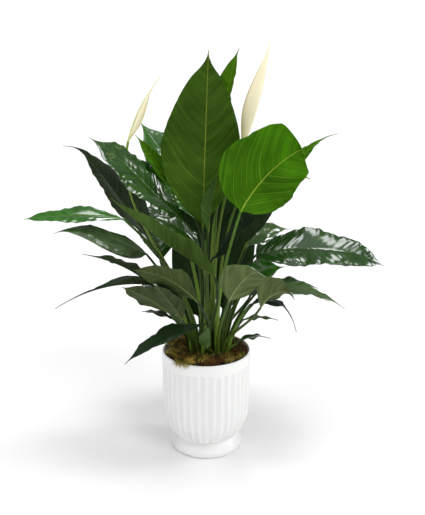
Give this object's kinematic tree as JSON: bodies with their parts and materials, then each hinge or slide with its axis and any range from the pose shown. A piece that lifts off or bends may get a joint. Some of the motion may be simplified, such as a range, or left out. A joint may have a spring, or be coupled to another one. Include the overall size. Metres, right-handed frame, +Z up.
{
  "type": "potted peace lily",
  "caption": "Peace lily with glossy lance-shaped leaves on long stalks and rolled white spathes, growing from soil and moss in a white fluted footed pot.",
  "frame": {"origin": "centre of the underside of the pot's foot, on the surface that it stands on", "axes": "+Z up along the pot's axis, -Y towards the front of the plant, +X to the right as seen from the front"},
  "size_m": [0.6118, 0.4336, 0.752],
  "materials": {
    "white_glaze": "satin",
    "potting_soil": "matte",
    "sheet_moss": "matte",
    "leaf": "satin",
    "bloom_stalk": "satin",
    "spathe": "satin",
    "spadix": "matte"
  },
  "bodies": {
    "root": {"pot": "white_glaze", "soil": "potting_soil", "moss": "sheet_moss", "leaf_01": "leaf", "leaf_02": "leaf", "leaf_03": "leaf", "leaf_04": "leaf", "leaf_05": "leaf", "leaf_06": "leaf", "leaf_07": "leaf", "leaf_08": "leaf", "leaf_09": "leaf", "leaf_10": "leaf", "leaf_11": "leaf", "leaf_12": "leaf", "leaf_13": "leaf", "leaf_14": "leaf", "leaf_15": "leaf", "leaf_16": "leaf", "leaf_17": "leaf", "leaf_18": "leaf", "leaf_19": "leaf", "leaf_20": "leaf", "leaf_21": "leaf", "leaf_22": "leaf", "leaf_23": "leaf", "leaf_24": "leaf", "leaf_25": "leaf", "leaf_26": "leaf", "leaf_27": "leaf", "leaf_28": "leaf", "leaf_29": "leaf", "leaf_30": "leaf", "leaf_31": "leaf", "leaf_32": "leaf", "leaf_33": "leaf", "leaf_34": "leaf", "leaf_35": "leaf", "leaf_36": "leaf", "leaf_37": "leaf", "leaf_38": "leaf", "leaf_39": "leaf", "leaf_40": "leaf", "leaf_41": "leaf", "leaf_42": "leaf", "leaf_43": "leaf", "leaf_44": "leaf", "bloom_1_stalk": "bloom_stalk", "bloom_1_spathe": "spathe", "bloom_1_spadix": "spadix", "bloom_2_stalk": "bloom_stalk", "bloom_2_spathe": "spathe", "bloom_2_spadix": "spadix"}
  },
  "joints": []
}
